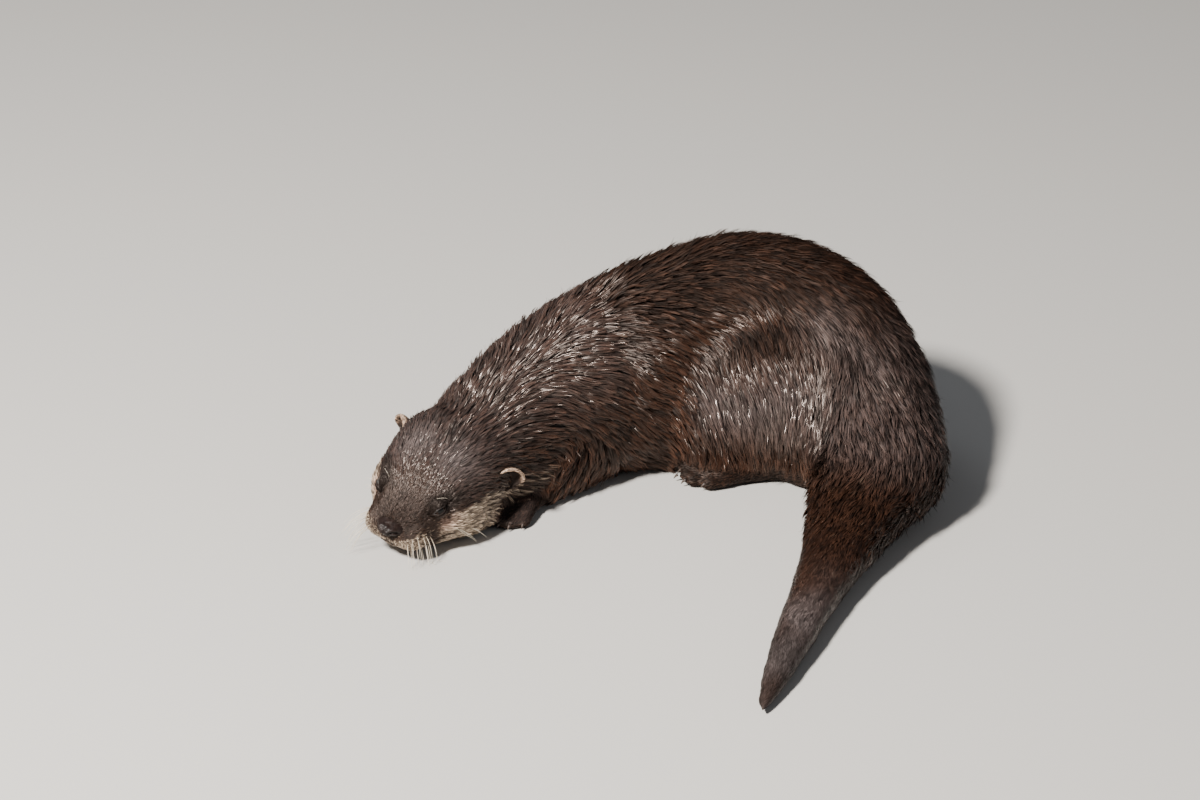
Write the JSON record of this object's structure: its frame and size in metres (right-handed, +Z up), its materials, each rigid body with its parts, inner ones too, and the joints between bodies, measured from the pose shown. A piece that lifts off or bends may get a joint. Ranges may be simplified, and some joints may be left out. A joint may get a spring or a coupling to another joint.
{
  "type": "small-clawed otter",
  "caption": "Life-size still model of a small-clawed otter resting curled on its belly, head low and turned, tail laid forward on the floor.",
  "frame": {"origin": "centre of the footprint's bounding box, on the floor", "axes": "+Z up; +Y across the back from the tail's side to the far flank; +X towards the rump, so the head lies at -X"},
  "size_m": [0.3808, 0.437, 0.1556],
  "materials": {
    "fur": "wet dark chocolate fur, in fine pointed locks",
    "face_fur": "short dark fur, with pale buff cheeks, lips and throat",
    "tail_fur": "short sleek fur with a grey sheen",
    "ear": "thin skin with a pale buff rim",
    "eye": "wet gloss",
    "nose": "damp bare skin"
  },
  "bodies": {
    "root": {"head": "face_fur", "nose": "nose", "eye_left": "eye", "eye_right": "eye", "ear_left": "ear", "ear_right": "ear", "neck": "fur", "chest": "fur", "loin": "fur", "foreleg_left": "fur", "foreleg_right": "fur", "forepaw_left": "fur", "forepaw_right": "fur", "hindleg_left": "fur", "hindleg_right": "fur", "hindfoot_left": "fur", "hindfoot_right": "fur", "tail_root": "tail_fur", "tail_middle": "tail_fur", "tail_tip": "tail_fur"}
  },
  "joints": []
}
